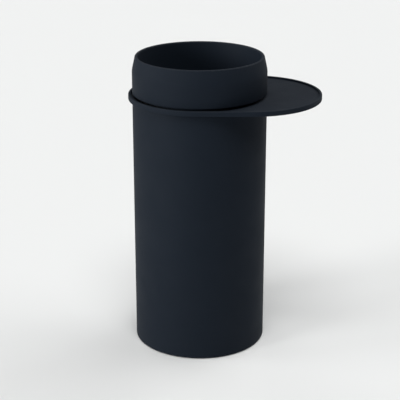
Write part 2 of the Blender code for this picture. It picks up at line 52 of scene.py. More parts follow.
# Fineness of turned and swept pieces: steps round a whole turn, or points along a curve
TURN_STEPS = 192
TRAY_STEPS = 288
PLATE_STEPS = 96
SMALL_STEPS = 36
WIRE_STEPS = 20
DOME_STEPS = 6  # in a quarter turn
FILLET_POINTS = 5
ARC_POINTS = 17

# Mesh making
SHARP_EDGE = math.radians(40)  # an edge that bends more than this stays sharp
WORN_BELOW = 5 * MM  # an outer edge with a smaller fillet than this is rubbed
CUT_PAST = 3 * MM  # how far a cut runs on past the sheet that it goes through
HOLE_TURN = math.radians(3.3)  # keeps the corners of a hole off the edges of the face that it cuts

# How near two places have to be to count as one
TOUCHING = 0.001 * MM
SAME_HEIGHT = 0.1 * MM
HEIGHT_DIGITS = 5  # heights in metres, rounded to 0.01 mm

# Sizes that the CAD boxes don't give
SHEET = 2.0 * MM
FINE_EDGE = 0.4 * MM
SHELL_TOP_EDGE = 1.9 * MM
SHELL_FOOT_EDGE = 1.5 * MM
SHOULDER_ROUND = 45 * MM
LIP_R = 3.45 * MM
LIP_TAPER = math.radians(12.5)
HEAD_SKIN = 1.5 * MM
TRAY_WALL = 6 * MM
TRAY_DEPTH = 4 * MM
TRAY_PLATE = 2.5 * MM
TRAY_OUTER_EDGE = 1.3 * MM
TRAY_INNER_EDGE = 0.8 * MM
TRAY_FILLET = 1.2 * MM
NECK_EDGE = 0.8 * MM
GREASE_GROOVE = 0.7 * MM
SEAL_LIP = 0.9 * MM

# Liner bucket and its bail
LINER_SHEET = 1.2 * MM
LINER_FOOT_RECESS = 5 * MM
RIM_BEAD_R = 2.5 * MM
WALL_BEND = 3 * MM
WALL_BEND_EASE = WALL_BEND / 3
WALL_BEND_DROP = 4 * MM
SWAGE_DEPTH = 1.5 * MM
SWAGE_HALF = 5 * MM
SWAGE_POINTS = 4  # on each side of a groove's middle
SWAGE_PLACES = (0.18, 0.24, 0.76, 0.82)  # of the wall's height
FLOOR_STEP = 2 * MM
FLOOR_STEP_R = 78 * MM
WIRE_R = 2.3 * MM
WIRE_KNEE = 4.4 * MM
WIRE_BEND = math.radians(3.5)
WIRE_END = 2.4 * MM
WIRE_END_R = 3.1 * MM
GRIP_R = 6 * MM
GRIP_BORE_R = 2.7 * MM
GRIP_HALF = math.radians(26)
GRIP_COLLAR = 0.06  # of the grip's length, at each end
GRIP_GROOVE = 0.8 * MM
GRIP_RIBS = 15
GRIP_RIB_STEPS = 8
EAR_SHEET = 2 * MM
EAR_LUG_R = 5.5 * MM
EAR_PIN_R = 2.8 * MM
EAR_BEVEL = 0.3 * MM
EAR_BEVEL_STEPS = 2
EAR_BEND_OUT = 1.8 * MM
EAR_BEND_IN = 0.9 * MM
EAR_STEP = 1.1 * MM
EAR_MARGIN = EAR_BEVEL / 10
RIVET_HOLE_R = 1.9 * MM
RIVET_R = 1.5 * MM
RIVET_TOP_R = RIVET_R / 2
RIVET_HEAD_HEIGHT = 1.4 * MM

# Screws, nuts and the stud
HEX_SIDES = 6
SCREW_R = 2.5 * MM
SCREW_HOLE_R = 2.8 * MM
SOCKET_ACROSS = 3 * MM
SOCKET_DEPTH = 1.6 * MM
BUTTON_HEIGHT = 2.7 * MM
BUTTON_TOP_R = 2.4 * MM
SINK_HEIGHT = 2.2 * MM
SINK_DEPTH = 2.7 * MM
SINK_R = 5.25 * MM
THREAD_PITCH = 1.75 * MM
THREAD_DEPTH = 0.9 * MM
THREAD_CREST = (0.4, 0.6)  # of the pitch
FINE_PITCH = 0.8 * MM
FINE_DEPTH = 0.4 * MM
NUT_CHAMFER = 0.07  # of the width across flats

# Base
ANCHOR_HOLE_R = 5.5 * MM
ANCHOR_PITCH_R = 116 * MM
ANCHOR_COUNT = 3
PAD_HOLE_R = 6.5 * MM
PAD_GROOVE = 1 * MM
PAD_GROOVES = (0.25, 0.45, 0.65, 0.79)  # of the pad's radius
STUD_R = 6 * MM
STUD_TIP = 1 * MM
BLOCK_EDGE = 4 * MM

# Camera
CAMERA_PLACE = (0.0007, -2.605, 1.277)
CAMERA_DOWN = math.radians(19.97)
CAMERA_LENS = 108.6

# Studio. Each sun: its turn from the camera's side, its height and its width in degrees, and its strength
FLOOR_HALF = 60.0
FLOOR_COLOUR = (0.760, 0.768, 0.764)
SUNS = {
    "front": (0, 64, 34, 1.70),
    "front_left": (-60, 12, 20, 1.74),
    "left": (-90, 16, 28, 1.14),
    "back_left": (-150, 40, 34, 0.36),
    "right": (90, 40, 34, 0.42),
    "back_right": (120, 40, 34, 0.69),
    "back": (150, 40, 34, 0.52),
}
SKY_STRENGTH = 0.06  # what the sky lights the scene with
SKY_SEEN = 0.92  # what the camera sees of it

# Base colours, linear
PAINT = (0.0061, 0.0098, 0.0159)
PAINT_PALE = (0.0092, 0.0147, 0.0238)
# Paler paint for level faces: partly dust, and partly painted top light standing in for the light that level
# faces catch from above
PAINT_DUST_AND_TOP_LIGHT = (0.0142, 0.0185, 0.0255)
PAINT_WORN = (0.0200, 0.0245, 0.0310)
ZINC = (0.52, 0.53, 0.54)
ZINC_DULL = (0.36, 0.37, 0.37)
GALVANISED = (0.44, 0.46, 0.47)
GALVANISED_DARK = (0.27, 0.29, 0.30)
RUBBER = (0.014, 0.014, 0.015)
RUBBER_DUSTY = (0.045, 0.044, 0.042)
PLASTIC = (0.017, 0.017, 0.018)
PLASTIC_PALE = (0.034, 0.034, 0.035)
CONCRETE = (0.36, 0.35, 0.33)
CONCRETE_DARK = (0.20, 0.195, 0.185)


# ------------------------------------------------------------------ materials


class Surface:
    """A Principled material and the small node tree that varies it over the piece."""

    def __init__(self, name, colour, roughness, metallic=0.0, specular=0.5):
        self.made = bpy.data.materials.new(name)
        self.made.use_nodes = True
        self.made.diffuse_color = (*colour, 1.0)
        self.tree = self.made.node_tree
        self.shader = self.tree.nodes["Principled BSDF"]
        self.shader.inputs["Base Color"].default_value = (*colour, 1.0)
        self.shader.inputs["Roughness"].default_value = roughness
        self.shader.inputs["Metallic"].default_value = metallic
        self.shader.inputs["Specular IOR Level"].default_value = specular
        self.place = self.tree.nodes.new("ShaderNodeTexCoord").outputs["Object"]

    def add(self, kind, **settings):
        node = self.tree.nodes.new(kind)
        for name, value in settings.items():
            setattr(node, name, value)
        return node

    def feed(self, socket, value):
        """Links a socket to another node's output, or sets it to a number or a colour."""
        if isinstance(value, bpy.types.NodeSocket):
            self.tree.links.new(value, socket)
        elif isinstance(value, tuple):
            socket.default_value = (*value, 1.0)
        else:
            socket.default_value = value

    def stretched(self, stretch):
        """The point on the piece, scaled on each axis."""
        mapping = self.add("ShaderNodeMapping", vector_type="POINT")
        mapping.inputs["Scale"].default_value = stretch
        self.feed(mapping.inputs["Vector"], self.place)
        return mapping.outputs["Vector"]

    def noise(self, scale, detail=2.0, stretch=(1, 1, 1)):
        """Soft noise, with scale as the count of its features in a metre."""
        node = self.add("ShaderNodeTexNoise")
        self.feed(node.inputs["Vector"], self.stretched(stretch))
        node.inputs["Scale"].default_value = scale
        node.inputs["Detail"].default_value = detail
        return node.outputs["Fac"]

    def cells(self, scale, output="Color"):
        """Crystal cells, with scale as their count in a metre."""
        node = self.add("ShaderNodeTexVoronoi")
        self.feed(node.inputs["Vector"], self.place)
        node.inputs["Scale"].default_value = scale
        return node.outputs[output]

    def attribute(self, name):
        return self.add("ShaderNodeAttribute", attribute_name=name).outputs["Fac"]

    def ranged(self, value, low, high, to=(0.0, 1.0)):
        """The value with low..high mapped to the two ends of to, and held at those ends past them."""
        node = self.add("ShaderNodeMapRange")
        self.feed(node.inputs["Value"], value)
        ends = {"From Min": low, "From Max": high, "To Min": to[0], "To Max": to[1]}
        for socket, number in ends.items():
            node.inputs[socket].default_value = number
        return node.outputs["Result"]

    def maths(self, operation, first, second):
        node = self.add("ShaderNodeMath", operation=operation)
        self.feed(node.inputs[0], first)
        self.feed(node.inputs[1], second)
        return node.outputs[0]

    def mixed(self, amount, first, second):
        """A colour between first, at amount 0, and second, at 1."""
        node = self.add("ShaderNodeMix", data_type="RGBA")
        self.feed(node.inputs["Factor"], amount)
        self.feed(node.inputs["A"], first)
        self.feed(node.inputs["B"], second)
        return node.outputs["Result"]

    def facing_up(self):
        """The upward part of the surface's own normal."""
        split = self.add("ShaderNodeSeparateXYZ")
        self.feed(split.inputs[0], self.add("ShaderNodeTexCoord").outputs["Normal"])
        return split.outputs["Z"]

    def colour(self, value):
        self.feed(self.shader.inputs["Base Color"], value)

    def roughness(self, value):
        self.feed(self.shader.inputs["Roughness"], value)

    def bump(self, *layers):
        """Layers of (height, distance in metres, strength), each on top of the one before."""
        last = None
        for value, distance, strength in layers:
            node = self.add("ShaderNodeBump")
            node.inputs["Distance"].default_value = distance
            node.inputs["Strength"].default_value = strength
            self.feed(node.inputs["Height"], value)
            if last is not None:
                self.feed(node.inputs["Normal"], last)
            last = node.outputs["Normal"]
        self.feed(self.shader.inputs["Normal"], last)


def powder_coat():
    """Matt anthracite powder coat: fine grain on a slight orange peel, dust and painted top light on level
    faces, rubbed edges.
    """
    paint = Surface("powder_coat", PAINT, roughness=0.7, specular=0.1)
    cloud = paint.noise(scale=7.0, detail=3.0)
    peel = paint.noise(scale=420.0)
    grain = paint.noise(scale=1500.0)
    grit = paint.ranged(grain, 0.35, 0.75)
    flecks = paint.maths("MULTIPLY", grit, paint.ranged(cloud, 0.3, 0.7, to=(0.3, 0.6)))
    coat = paint.mixed(flecks, PAINT, PAINT_PALE)
    # Level faces are made paler in patches by how far they face up: partly dust, and partly painted top
    # light
    dust_and_light_patches = paint.ranged(paint.noise(scale=24.0, detail=5.0), 0.25, 0.75, to=(0.35, 0.95))
    dust = paint.maths("MULTIPLY", paint.ranged(paint.facing_up(), 0.2, 1.0), dust_and_light_patches)
    dusty_and_top_lit = paint.mixed(dust, coat, PAINT_DUST_AND_TOP_LIGHT)
    rubbed = paint.ranged(paint.noise(scale=260.0, detail=5.0), 0.42, 0.75)
    worn = paint.maths("MULTIPLY", paint.attribute("wear"), rubbed)
    paint.colour(paint.mixed(worn, dusty_and_top_lit, PAINT_WORN))
    paint.roughness(paint.ranged(paint.noise(scale=16.0, detail=4.0), 0.3, 0.7, to=(0.66, 0.74)))
    paint.bump((peel, 0.12 * MM, 0.25), (grain, 0.1 * MM, 0.6))
    return paint.made


def zinc_plate():
    """Bright zinc plate with fine drawing marks and dull clouds."""
    zinc = Surface("zinc_plate", ZINC, roughness=0.35, metallic=1.0)
    cloud = zinc.noise(scale=60.0, detail=4.0)
    marks = zinc.noise(scale=700.0, detail=3.0, stretch=(1, 1, 6))
    zinc.colour(zinc.mixed(zinc.ranged(cloud, 0.35, 0.7), ZINC, ZINC_DULL))
    zinc.roughness(zinc.ranged(marks, 0.3, 0.7, to=(0.26, 0.48)))
    zinc.bump((marks, 0.04 * MM, 0.4))
    return zinc.made


def galvanised():
    """Hot-dip zinc with crystal spangle and faint upright scuffs."""
    zinc = Surface("galvanised", GALVANISED, roughness=0.42, metallic=1.0)
    crystals = zinc.cells(scale=95.0)
    scuffs = zinc.noise(scale=130.0, detail=4.0, stretch=(1, 1, 0.06))
    spangle = zinc.ranged(crystals, 0.0, 1.0, to=(0.0, 0.6))
    tone = zinc.maths("MULTIPLY", spangle, zinc.ranged(scuffs, 0.3, 0.7, to=(0.5, 1.0)))
    zinc.colour(zinc.mixed(tone, GALVANISED, GALVANISED_DARK))
    zinc.roughness(zinc.ranged(crystals, 0.0, 1.0, to=(0.36, 0.5)))
    zinc.bump((crystals, 0.03 * MM, 0.25), (scuffs, 0.08 * MM, 0.3))
    return zinc.made


def rubber():
    """Moulded black rubber with fine grain and grey dust."""
    skin = Surface("black_rubber", RUBBER, roughness=0.8, specular=0.35)
    dust = skin.noise(scale=45.0, detail=5.0)
    grain = skin.noise(scale=1800.0)
    skin.colour(skin.mixed(skin.ranged(dust, 0.5, 0.75, to=(0.0, 0.6)), RUBBER, RUBBER_DUSTY))
    skin.roughness(skin.ranged(dust, 0.3, 0.7, to=(0.7, 0.9)))
    skin.bump((grain, 0.08 * MM, 0.5))
    return skin.made


def plastic():
    """Black moulded plastic with a spark-eroded grain."""
    skin = Surface("black_plastic", PLASTIC, roughness=0.45, specular=0.4)
    grain = skin.noise(scale=2200.0)
    cloud = skin.noise(scale=30.0, detail=3.0)
    skin.colour(skin.mixed(skin.ranged(cloud, 0.35, 0.75, to=(0.0, 0.7)), PLASTIC, PLASTIC_PALE))
    skin.roughness(skin.ranged(cloud, 0.3, 0.7, to=(0.38, 0.52)))
    skin.bump((grain, 0.04 * MM, 0.5))
    return skin.made


def concrete():
    """Cast concrete with sand, dark stones and air holes."""
    block = Surface("cast_concrete", CONCRETE, roughness=0.92, specular=0.3)
    sand = block.noise(scale=900.0, detail=3.0)
    stones = block.ranged(block.cells(scale=130.0, output="Distance"), 0.15, 0.45)
    pores = block.ranged(block.cells(scale=260.0, output="Distance"), 0.04, 0.12)
    stain = block.ranged(block.noise(scale=14.0, detail=4.0), 0.4, 0.7, to=(0.0, 0.6))
    patched = block.mixed(stain, CONCRETE, CONCRETE_DARK)
    block.colour(block.mixed(stones, CONCRETE_DARK, patched))
    block.roughness(block.ranged(sand, 0.3, 0.7, to=(0.85, 0.97)))
    block.bump((pores, 0.8 * MM, 0.8), (sand, 0.3 * MM, 0.6))
    return block.made


# ------------------------------------------------------------------ profiles


def fillet(before, corner, after, radius):
    """Points of the arc that rounds a corner, from the side of before to the side of after."""
    back = (before - corner).normalized()
    on = (after - corner).normalized()
    half = back.angle(on) / 2
    reach = radius / math.tan(half)
    centre = corner + (back + on).normalized() * (radius / math.sin(half))
    first = corner + back * reach - centre
    last = corner + on * reach - centre
    start = math.atan2(first.y, first.x)
    sweep = math.remainder(math.atan2(last.y, last.x) - start, math.tau)
    turns = [start + sweep * i / (FILLET_POINTS - 1) for i in range(FILLET_POINTS)]
    return [centre + Vector((math.cos(turn), math.sin(turn))) * radius for turn in turns]


def cross(a, b):
    """More than 0 where b points to the left of a."""
    return a.x * b.y - a.y * b.x


def rounded(corners, open_ends=False):
    """A profile from (across, up, fillet radius) corners, as (point, wear) pairs.

    Wear is 1 in the middle of a small outer edge's fillet, and 0 away from such edges. Points that touch
    the one before are left out.
    """
    spots = [Vector(corner[:2]) for corner in corners]
    count = len(spots)
    area = sum(cross(spots[i - 1], spots[i]) for i in range(count))
    outline = []
    for i, spot in enumerate(spots):
        radius = corners[i][2]
        if radius == 0 or (open_ends and i in (0, count - 1)):
            outline.append((spot, 0.0))
            continue
        before, after = spots[i - 1], spots[(i + 1) % count]
        outer = cross(spot - before, after - spot) * area > 0
        arc = fillet(before, spot, after, radius)
        wear = 1.0 if outer and radius < WORN_BELOW else 0.0
        outline += [(point, wear * math.sin(math.pi * k / (len(arc) - 1))) for k, point in enumerate(arc)]
    return [pair for i, pair in enumerate(outline) if (pair[0] - outline[i - 1][0]).length > TOUCHING]


def around(centre, radius, turn, z):
    """The point at a radius and a turn about an upright line through centre."""
    return Vector((centre[0] + radius * math.cos(turn), centre[1] + radius * math.sin(turn), z))


def circle(radius, z, steps, centre=AXIS, first=0.0):
    """A level circle of points, from the turn first on."""
    return [around(centre, radius, first + math.tau * i / steps, z) for i in range(steps)]


def turned(profile, steps=TURN_STEPS):
    """The loops of a profile turned about the body's axis."""
    return [(circle(point.x, point.y, steps), wear) for point, wear in profile]


def points_of(node):
    """The points of a CAD node's mesh, which are its places in the frame at rest."""
    return [vert.co for vert in frame["nodes"][node].data.vertices]


def heights_of(node):
    """The heights of a CAD node's points, from the lowest."""
    return sorted({round(point.z, HEIGHT_DIGITS) for point in points_of(node)})


def radius_at(node, z, widest=False):
    """The narrowest or widest reach from the bin's axis of a CAD node's points at a height."""
    reaches = [point.to_2d().length for point in points_of(node) if abs(point.z - z) < SAME_HEIGHT]
    return max(reaches) if widest else min(reaches)


def spots_of(node):
    """The lowest corner, highest corner and middle of a CAD node."""
    low, high = map(Vector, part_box(node))
    return low, high, (low + high) / 2


def middles(nodes):
    """The middles of CAD nodes, seen from above."""
    return [spots_of(node)[2].to_2d() for node in nodes]


def numbered(name):
    """The CAD nodes that are called name_1, name_2 and so on."""
    return sorted(node for node in frame["nodes"] if node.startswith(f"{name}_"))


# ------------------------------------------------------------------ mesh making


def mesh_of(name, loops, capped):
    """A closed mesh through (loop, wear) pairs of equally many points: a ring, or a plug when capped."""
    built = bmesh.new()
    worn = built.verts.layers.float.new("wear")
    rows = []
    for loop, wear in loops:
        row = [built.verts.new(point) for point in loop]
        for vert in row:
            vert[worn] = wear
        rows.append(row)
    pairs = list(zip(rows, rows[1:]))
    if capped:
        built.faces.new(rows[0])
        built.faces.new(rows[-1])
    else:
        pairs.append((rows[-1], rows[0]))
    for low, high in pairs:
        for i in range(len(low)):
            after = (i + 1) % len(low)
            built.faces.new((low[i], low[after], high[after], high[i]))
    bmesh.ops.recalc_face_normals(built, faces=built.faces)
    mesh = bpy.data.meshes.new(name)
    built.to_mesh(mesh)
    built.free()
    mesh.shade_smooth()
    mesh.set_sharp_from_angle(angle=SHARP_EDGE)
    return mesh


def piece(node, loops, surface, capped=False):
    """A finished piece that stands for a CAD node, moves with its body and takes its material slot."""
    obj = bpy.data.objects.new(f"{node}_finish", mesh_of(node, loops, capped))
    bpy.context.collection.objects.link(obj)
    obj.data.materials.append(surface)
    record = frame["record"]
    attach(obj, next(body for body, nodes in record["behaviour"]["bodies"].items() if node in nodes))
    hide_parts(node)
    return obj


def combine(target, loops, operation="DIFFERENCE"):
    """Cuts or trims a piece with a plug through loops, and keeps the result as its mesh."""
    tool = bpy.data.objects.new("tool", mesh_of("tool", [(loop, 0.0) for loop in loops], True))
    bpy.context.collection.objects.link(tool)
    modifier = target.modifiers.new("tool", "BOOLEAN")
    modifier.operation = operation
    modifier.solver = "EXACT"
    modifier.object = tool
    bpy.context.view_layer.update()
    with bpy.context.temp_override(object=target, active_object=target):
        bpy.ops.object.modifier_apply(modifier=modifier.name)
    target.data.set_sharp_from_angle(angle=SHARP_EDGE)
    bpy.data.objects.remove(tool, do_unlink=True)


def drill(target, centres, profile):
    """Cuts the same upright hole, a list of (radius, z), out of a piece at each centre."""
    for centre in centres:
        combine(target, [circle(radius, z, SMALL_STEPS, centre, HOLE_TURN) for radius, z in profile])


# ------------------------------------------------------------------ painted pieces


def body_shell(paint):
    """The sheet cylinder with its top flange, its turned-in foot and their screw holes."""
    low, high, _ = spots_of("body_shell")
    top_r = radius_at("body_shell", high.z)
    foot_r = radius_at("body_shell", low.z)
    corners = [
        (top_r, high.z, FINE_EDGE),
        (high.x, high.z, SHELL_TOP_EDGE),
        (high.x, low.z, SHELL_FOOT_EDGE),
        (foot_r, low.z, FINE_EDGE),
        (foot_r, low.z + SHEET, FINE_EDGE),
        (high.x - SHEET, low.z + SHEET, FINE_EDGE),
        (high.x - SHEET, high.z - SHEET, FINE_EDGE),
        (top_r, high.z - SHEET, FINE_EDGE),
    ]
    shell = piece("body_shell", turned(rounded(corners)), paint)
    foot = [(SCREW_HOLE_R, low.z - CUT_PAST), (SCREW_HOLE_R, low.z + SHEET + CUT_PAST)]
    top = [(SCREW_HOLE_R, high.z - SHEET - CUT_PAST), (SCREW_HOLE_R, high.z + CUT_PAST)]
    drill(shell, middles(numbered("base_screw")), foot)
    drill(shell, middles(numbered("neck_screw")), top)
    return shell


def head_ring(paint):
    """Outer skin with a soft shoulder, rolled lip and straight inner skin."""
    low, high, _ = spots_of("head_ring")
    points = points_of("head_ring")
    bore_r = min(point.to_2d().length for point in points)
    inner_foot = min(point.z for point in points if point.to_2d().length < bore_r + FINE_EDGE)
    lean = math.tan(LIP_TAPER)
    lip_out_r = bore_r + LIP_R * (1 + 1 / math.cos(LIP_TAPER) - lean)
    shoulder_z = high.z - (high.x - lip_out_r) / lean
    roof_z = high.z - 2 * LIP_R
    roof_r = high.x - (roof_z - shoulder_z) * lean - HEAD_SKIN
    corners = [
        (high.x, low.z, FINE_EDGE),
        (high.x, shoulder_z, SHOULDER_ROUND),
        (lip_out_r, high.z, LIP_R),
        (bore_r, high.z, LIP_R),
        (bore_r, inner_foot, FINE_EDGE),
        (bore_r + HEAD_SKIN, inner_foot, FINE_EDGE),
        (bore_r + HEAD_SKIN, roof_z, MM),
        (roof_r, roof_z, MM),
        (high.x - HEAD_SKIN, shoulder_z, SHOULDER_ROUND),
        (high.x - HEAD_SKIN, low.z, FINE_EDGE),
    ]
    return piece("head_ring", turned(rounded(corners)), paint)


def tray_outline(inset, z):
    """The tray's outline, moved inwards: two arcs of one radius joined by straight sides."""
    _, high, _ = spots_of("ash_tray")
    offset = high.x - high.y
    radius = high.y - inset
    loop = []
    for i in range(TRAY_STEPS):
        turn = math.tau * i / TRAY_STEPS
        along, across = math.cos(turn), math.sin(turn)
        reach = radius
        if along > 0:
            beyond = offset * along + math.sqrt(radius**2 - (offset * across) ** 2)
            reach = beyond if beyond * along >= offset else radius / abs(across)
        loop.append(Vector((reach * along, reach * across, z)))
    return loop


def ash_tray(paint):
    """A pressed tray with a folded rim, round the neck at one end and overhanging at the other."""
    low, high, _ = spots_of("ash_tray")
    floor_z = high.z - TRAY_DEPTH
    under_z = floor_z - TRAY_PLATE
    hole_r = radius_at("ash_tray", floor_z)
    land = TRAY_WALL + 2 * TRAY_FILLET
    corners = [
        (land, floor_z, 0),
        (TRAY_WALL, floor_z, TRAY_FILLET),
        (TRAY_WALL, high.z, TRAY_INNER_EDGE),
        (0, high.z, TRAY_OUTER_EDGE),
        (0, low.z, FINE_EDGE),
        (TRAY_WALL, low.z, FINE_EDGE),
        (TRAY_WALL, under_z, TRAY_INNER_EDGE),
        (land, under_z, 0),
    ]
    loops = [(tray_outline(point.x, point.y), wear) for point, wear in rounded(corners, open_ends=True)]
    for radius, z in (
        (hole_r + FINE_EDGE, under_z),
        (hole_r, under_z + FINE_EDGE),
        (hole_r, floor_z - FINE_EDGE),
        (hole_r + FINE_EDGE, floor_z),
    ):
        loops.append((circle(radius, z, TRAY_STEPS), 0.0))
    return piece("ash_tray", loops, paint)


def neck_ring(paint):
    """The collar: flange, riser and shoulder, with countersunk holes in the flange."""
    low, high, _ = spots_of("neck_ring")
    heights = heights_of("neck_ring")
    flange_r = radius_at("neck_ring", low.z)
    riser_out = radius_at("neck_ring", high.z - NECK_EDGE, widest=True)
    riser_in = radius_at("neck_ring", high.z - NECK_EDGE)
    shoulder = [z for z in heights if radius_at("neck_ring", z, widest=True) > riser_out + MM]
    flange_top = max(z for z in heights if radius_at("neck_ring", z) < flange_r + MM)
    corners = [
        (flange_r, low.z, FINE_EDGE),
        (riser_out, low.z, FINE_EDGE),
        (riser_out, shoulder[0], FINE_EDGE),
        (high.x, shoulder[0], FINE_EDGE),
        (high.x, shoulder[-1], FINE_EDGE),
        (riser_out, shoulder[-1], FINE_EDGE),
        (riser_out, high.z, NECK_EDGE),
        (riser_in, high.z, NECK_EDGE),
        (riser_in, flange_top, MM),
        (flange_r, flange_top, FINE_EDGE),
    ]
    ring = piece("neck_ring", turned(rounded(corners)), paint)
    sink = [
        (SCREW_HOLE_R, low.z - CUT_PAST),
        (SCREW_HOLE_R, flange_top - SINK_DEPTH),
        (SINK_R, flange_top),
        (SINK_R, flange_top + CUT_PAST),
    ]
    drill(ring, middles(numbered("neck_screw")), sink)
    return ring


# ------------------------------------------------------------------ swivel and seal


def swivel_bush(plastic):
    """The L-shaped ring that the tray turns on, with a groove for grease in its step."""
    low, high, _ = spots_of("swivel_bush")
    inner_r = radius_at("swivel_bush", low.z)
    collar_r = radius_at("swivel_bush", high.z, widest=True)
    step_z = heights_of("swivel_bush")[1]
    middle = (collar_r + high.x) / 2
    corners = [
        (inner_r, low.z, FINE_EDGE),
        (high.x, low.z, FINE_EDGE),
        (high.x, step_z, FINE_EDGE),
        (middle + GREASE_GROOVE, step_z, 0),
        (middle, step_z - GREASE_GROOVE, 0),
        (middle - GREASE_GROOVE, step_z, 0),
        (collar_r, step_z, 0),
        (collar_r, high.z, FINE_EDGE),
        (inner_r, high.z, FINE_EDGE),
    ]
    return piece("swivel_bush", turned(rounded(corners)), plastic)


def head_seal(rubber):
    """A soft ring with two lips under the head."""
    low, high, _ = spots_of("head_seal")
    inner_r = radius_at("head_seal", low.z)
    middle = (inner_r + high.x) / 2
    corners = [
        (inner_r, low.z, FINE_EDGE),
        (high.x, low.z, FINE_EDGE),
        (high.x, high.z, SEAL_LIP),
        (middle, high.z, 0),
        (middle, high.z - SEAL_LIP, 0),
        (middle - FINE_EDGE, high.z - SEAL_LIP, 0),
        (middle - FINE_EDGE, high.z, 0),
        (inner_r, high.z, SEAL_LIP),
    ]
    return piece("head_seal", turned(rounded(corners)), rubber)


# ------------------------------------------------------------------ liner


def arc_points(centre_r, centre_z, radius, start, end):
    """Points of an arc in a profile, from start to end, without wear."""
    points = []
    for i in range(ARC_POINTS):
        turn = start + (end - start) * i / (ARC_POINTS - 1)
        points.append(Vector((centre_r + radius * math.cos(turn), centre_z + radius * math.sin(turn))))
    return points


def swaged_wall(foot_r, foot_z, top_r, top_z):
    """The outside of the liner's tapered wall, from foot to top, with rolled grooves that stiffen it."""
    wall = [Vector((foot_r, foot_z))]
    for place in SWAGE_PLACES:
        for i in range(-SWAGE_POINTS, SWAGE_POINTS + 1):
            z = foot_z + (top_z - foot_z) * place + SWAGE_HALF * i / SWAGE_POINTS
            groove = SWAGE_DEPTH * (1 + math.cos(math.pi * i / SWAGE_POINTS)) / 2
            wall.append(Vector((foot_r + (top_r - foot_r) * (z - foot_z) / (top_z - foot_z) - groove, z)))
    wall.append(Vector((top_r, top_z)))
    return wall


def liner_bucket(zinc):
    """Bucket with a stepped floor, swaged wall and rolled rim, which hangs on the neck's flange."""
    low, high, _ = spots_of("liner_bucket")
    flange_z = high.z - 2 * RIM_BEAD_R
    flange_top = flange_z + LINER_SHEET
    rim_r = high.x - RIM_BEAD_R
    foot_r = radius_at("liner_bucket", low.z, widest=True)
    bend_z = flange_z - WALL_BEND_DROP
    top_r = radius_at("liner_bucket", bend_z, widest=True)
    floor_z = low.z + LINER_FOOT_RECESS
    floor_top = floor_z + LINER_SHEET
    across = Vector((LINER_SHEET, 0))
    wall = swaged_wall(foot_r, low.z, top_r, bend_z)
    inner_wall = [point - across for point in reversed(wall) if point.y > floor_top + LINER_FOOT_RECESS]
    outside = [
        Vector((FLOOR_STEP_R - FLOOR_STEP, floor_z + FLOOR_STEP)),
        Vector((FLOOR_STEP_R, floor_z)),
        Vector((foot_r - LINER_SHEET, floor_z)),
        Vector((foot_r - LINER_SHEET, low.z)),
        *wall,
        Vector((top_r + WALL_BEND_EASE, flange_z - WALL_BEND_EASE)),
        Vector((top_r + WALL_BEND, flange_z)),
        *arc_points(rim_r, flange_z + RIM_BEAD_R, RIM_BEAD_R, -math.pi / 2, math.pi),
    ]
    inside = [
        Vector((rim_r - RIM_BEAD_R, flange_top)),
        Vector((top_r + WALL_BEND - LINER_SHEET, flange_top)),
        Vector((top_r + WALL_BEND_EASE - LINER_SHEET, flange_top - WALL_BEND_EASE)),
        *inner_wall,
        Vector((foot_r - LINER_SHEET - WALL_BEND_EASE, floor_top + WALL_BEND_EASE)),
        Vector((foot_r - LINER_SHEET - WALL_BEND, floor_top)),
        Vector((FLOOR_STEP_R, floor_top)),
        Vector((FLOOR_STEP_R - FLOOR_STEP, floor_top + FLOOR_STEP)),
    ]
    loops = turned([(point, 0.0) for point in outside + inside])
    bucket = piece("liner_bucket", loops, zinc, capped=True)
    hole = [(RIVET_HOLE_R, flange_z - CUT_PAST), (RIVET_HOLE_R, flange_top + CUT_PAST)]
    drill(bucket, middles(numbered("ear_rivet")), hole)
    return bucket


def swept(path, radii):
    """Round loops across a level path, one radius for each of its points."""
    loops = []
    for i, (point, radius) in enumerate(zip(path, radii)):
        ahead = (path[min(i + 1, len(path) - 1)] - path[max(i - 1, 0)]).normalized()
        side = Vector((ahead.y, -ahead.x, 0))
        turns = [math.tau * k / WIRE_STEPS for k in range(WIRE_STEPS)]
        loop = [point + (side * math.cos(turn) + Vector((0, 0, math.sin(turn)))) * radius for turn in turns]
        loops.append((loop, 0.0))
    return loops


def liner_handle(zinc):
    """A half hoop of wire whose ends turn out through the ears and are pressed into buttons."""
    low, high, middle = spots_of("liner_handle")
    bail_r = -low.x - WIRE_R
    first = math.pi / 2 + WIRE_BEND
    straight_y = bail_r + WIRE_KNEE
    start = around(AXIS, bail_r, first, middle.z)
    corner = Vector((0, start.y - start.x * math.tan(WIRE_BEND), middle.z))
    outer = [(high.y, WIRE_R), (high.y - FINE_EDGE, WIRE_END_R), (high.y - WIRE_END, WIRE_END_R)]
    outer += [(high.y - WIRE_END - FINE_EDGE, WIRE_R), (straight_y, WIRE_R)]
    half = [(Vector((0, y, middle.z)), radius) for y, radius in outer]
    for i in range(1, ARC_POINTS):
        share = i / ARC_POINTS
        rest = 1 - share
        knee = half[len(outer) - 1][0] * rest**2 + corner * 2 * share * rest + start * share**2
        half.append((knee, WIRE_R))
    steps = TURN_STEPS // 2
    sweep = math.pi - 2 * WIRE_BEND
    hoop = [around(AXIS, bail_r, first + sweep * i / steps, middle.z) for i in range(steps + 1)]
    mirrored = [(Vector((point.x, -point.y, point.z)), radius) for point, radius in reversed(half)]
    path = half + [(point, WIRE_R) for point in hoop] + mirrored
    return piece("liner_handle", swept(*zip(*path)), zinc, capped=True)


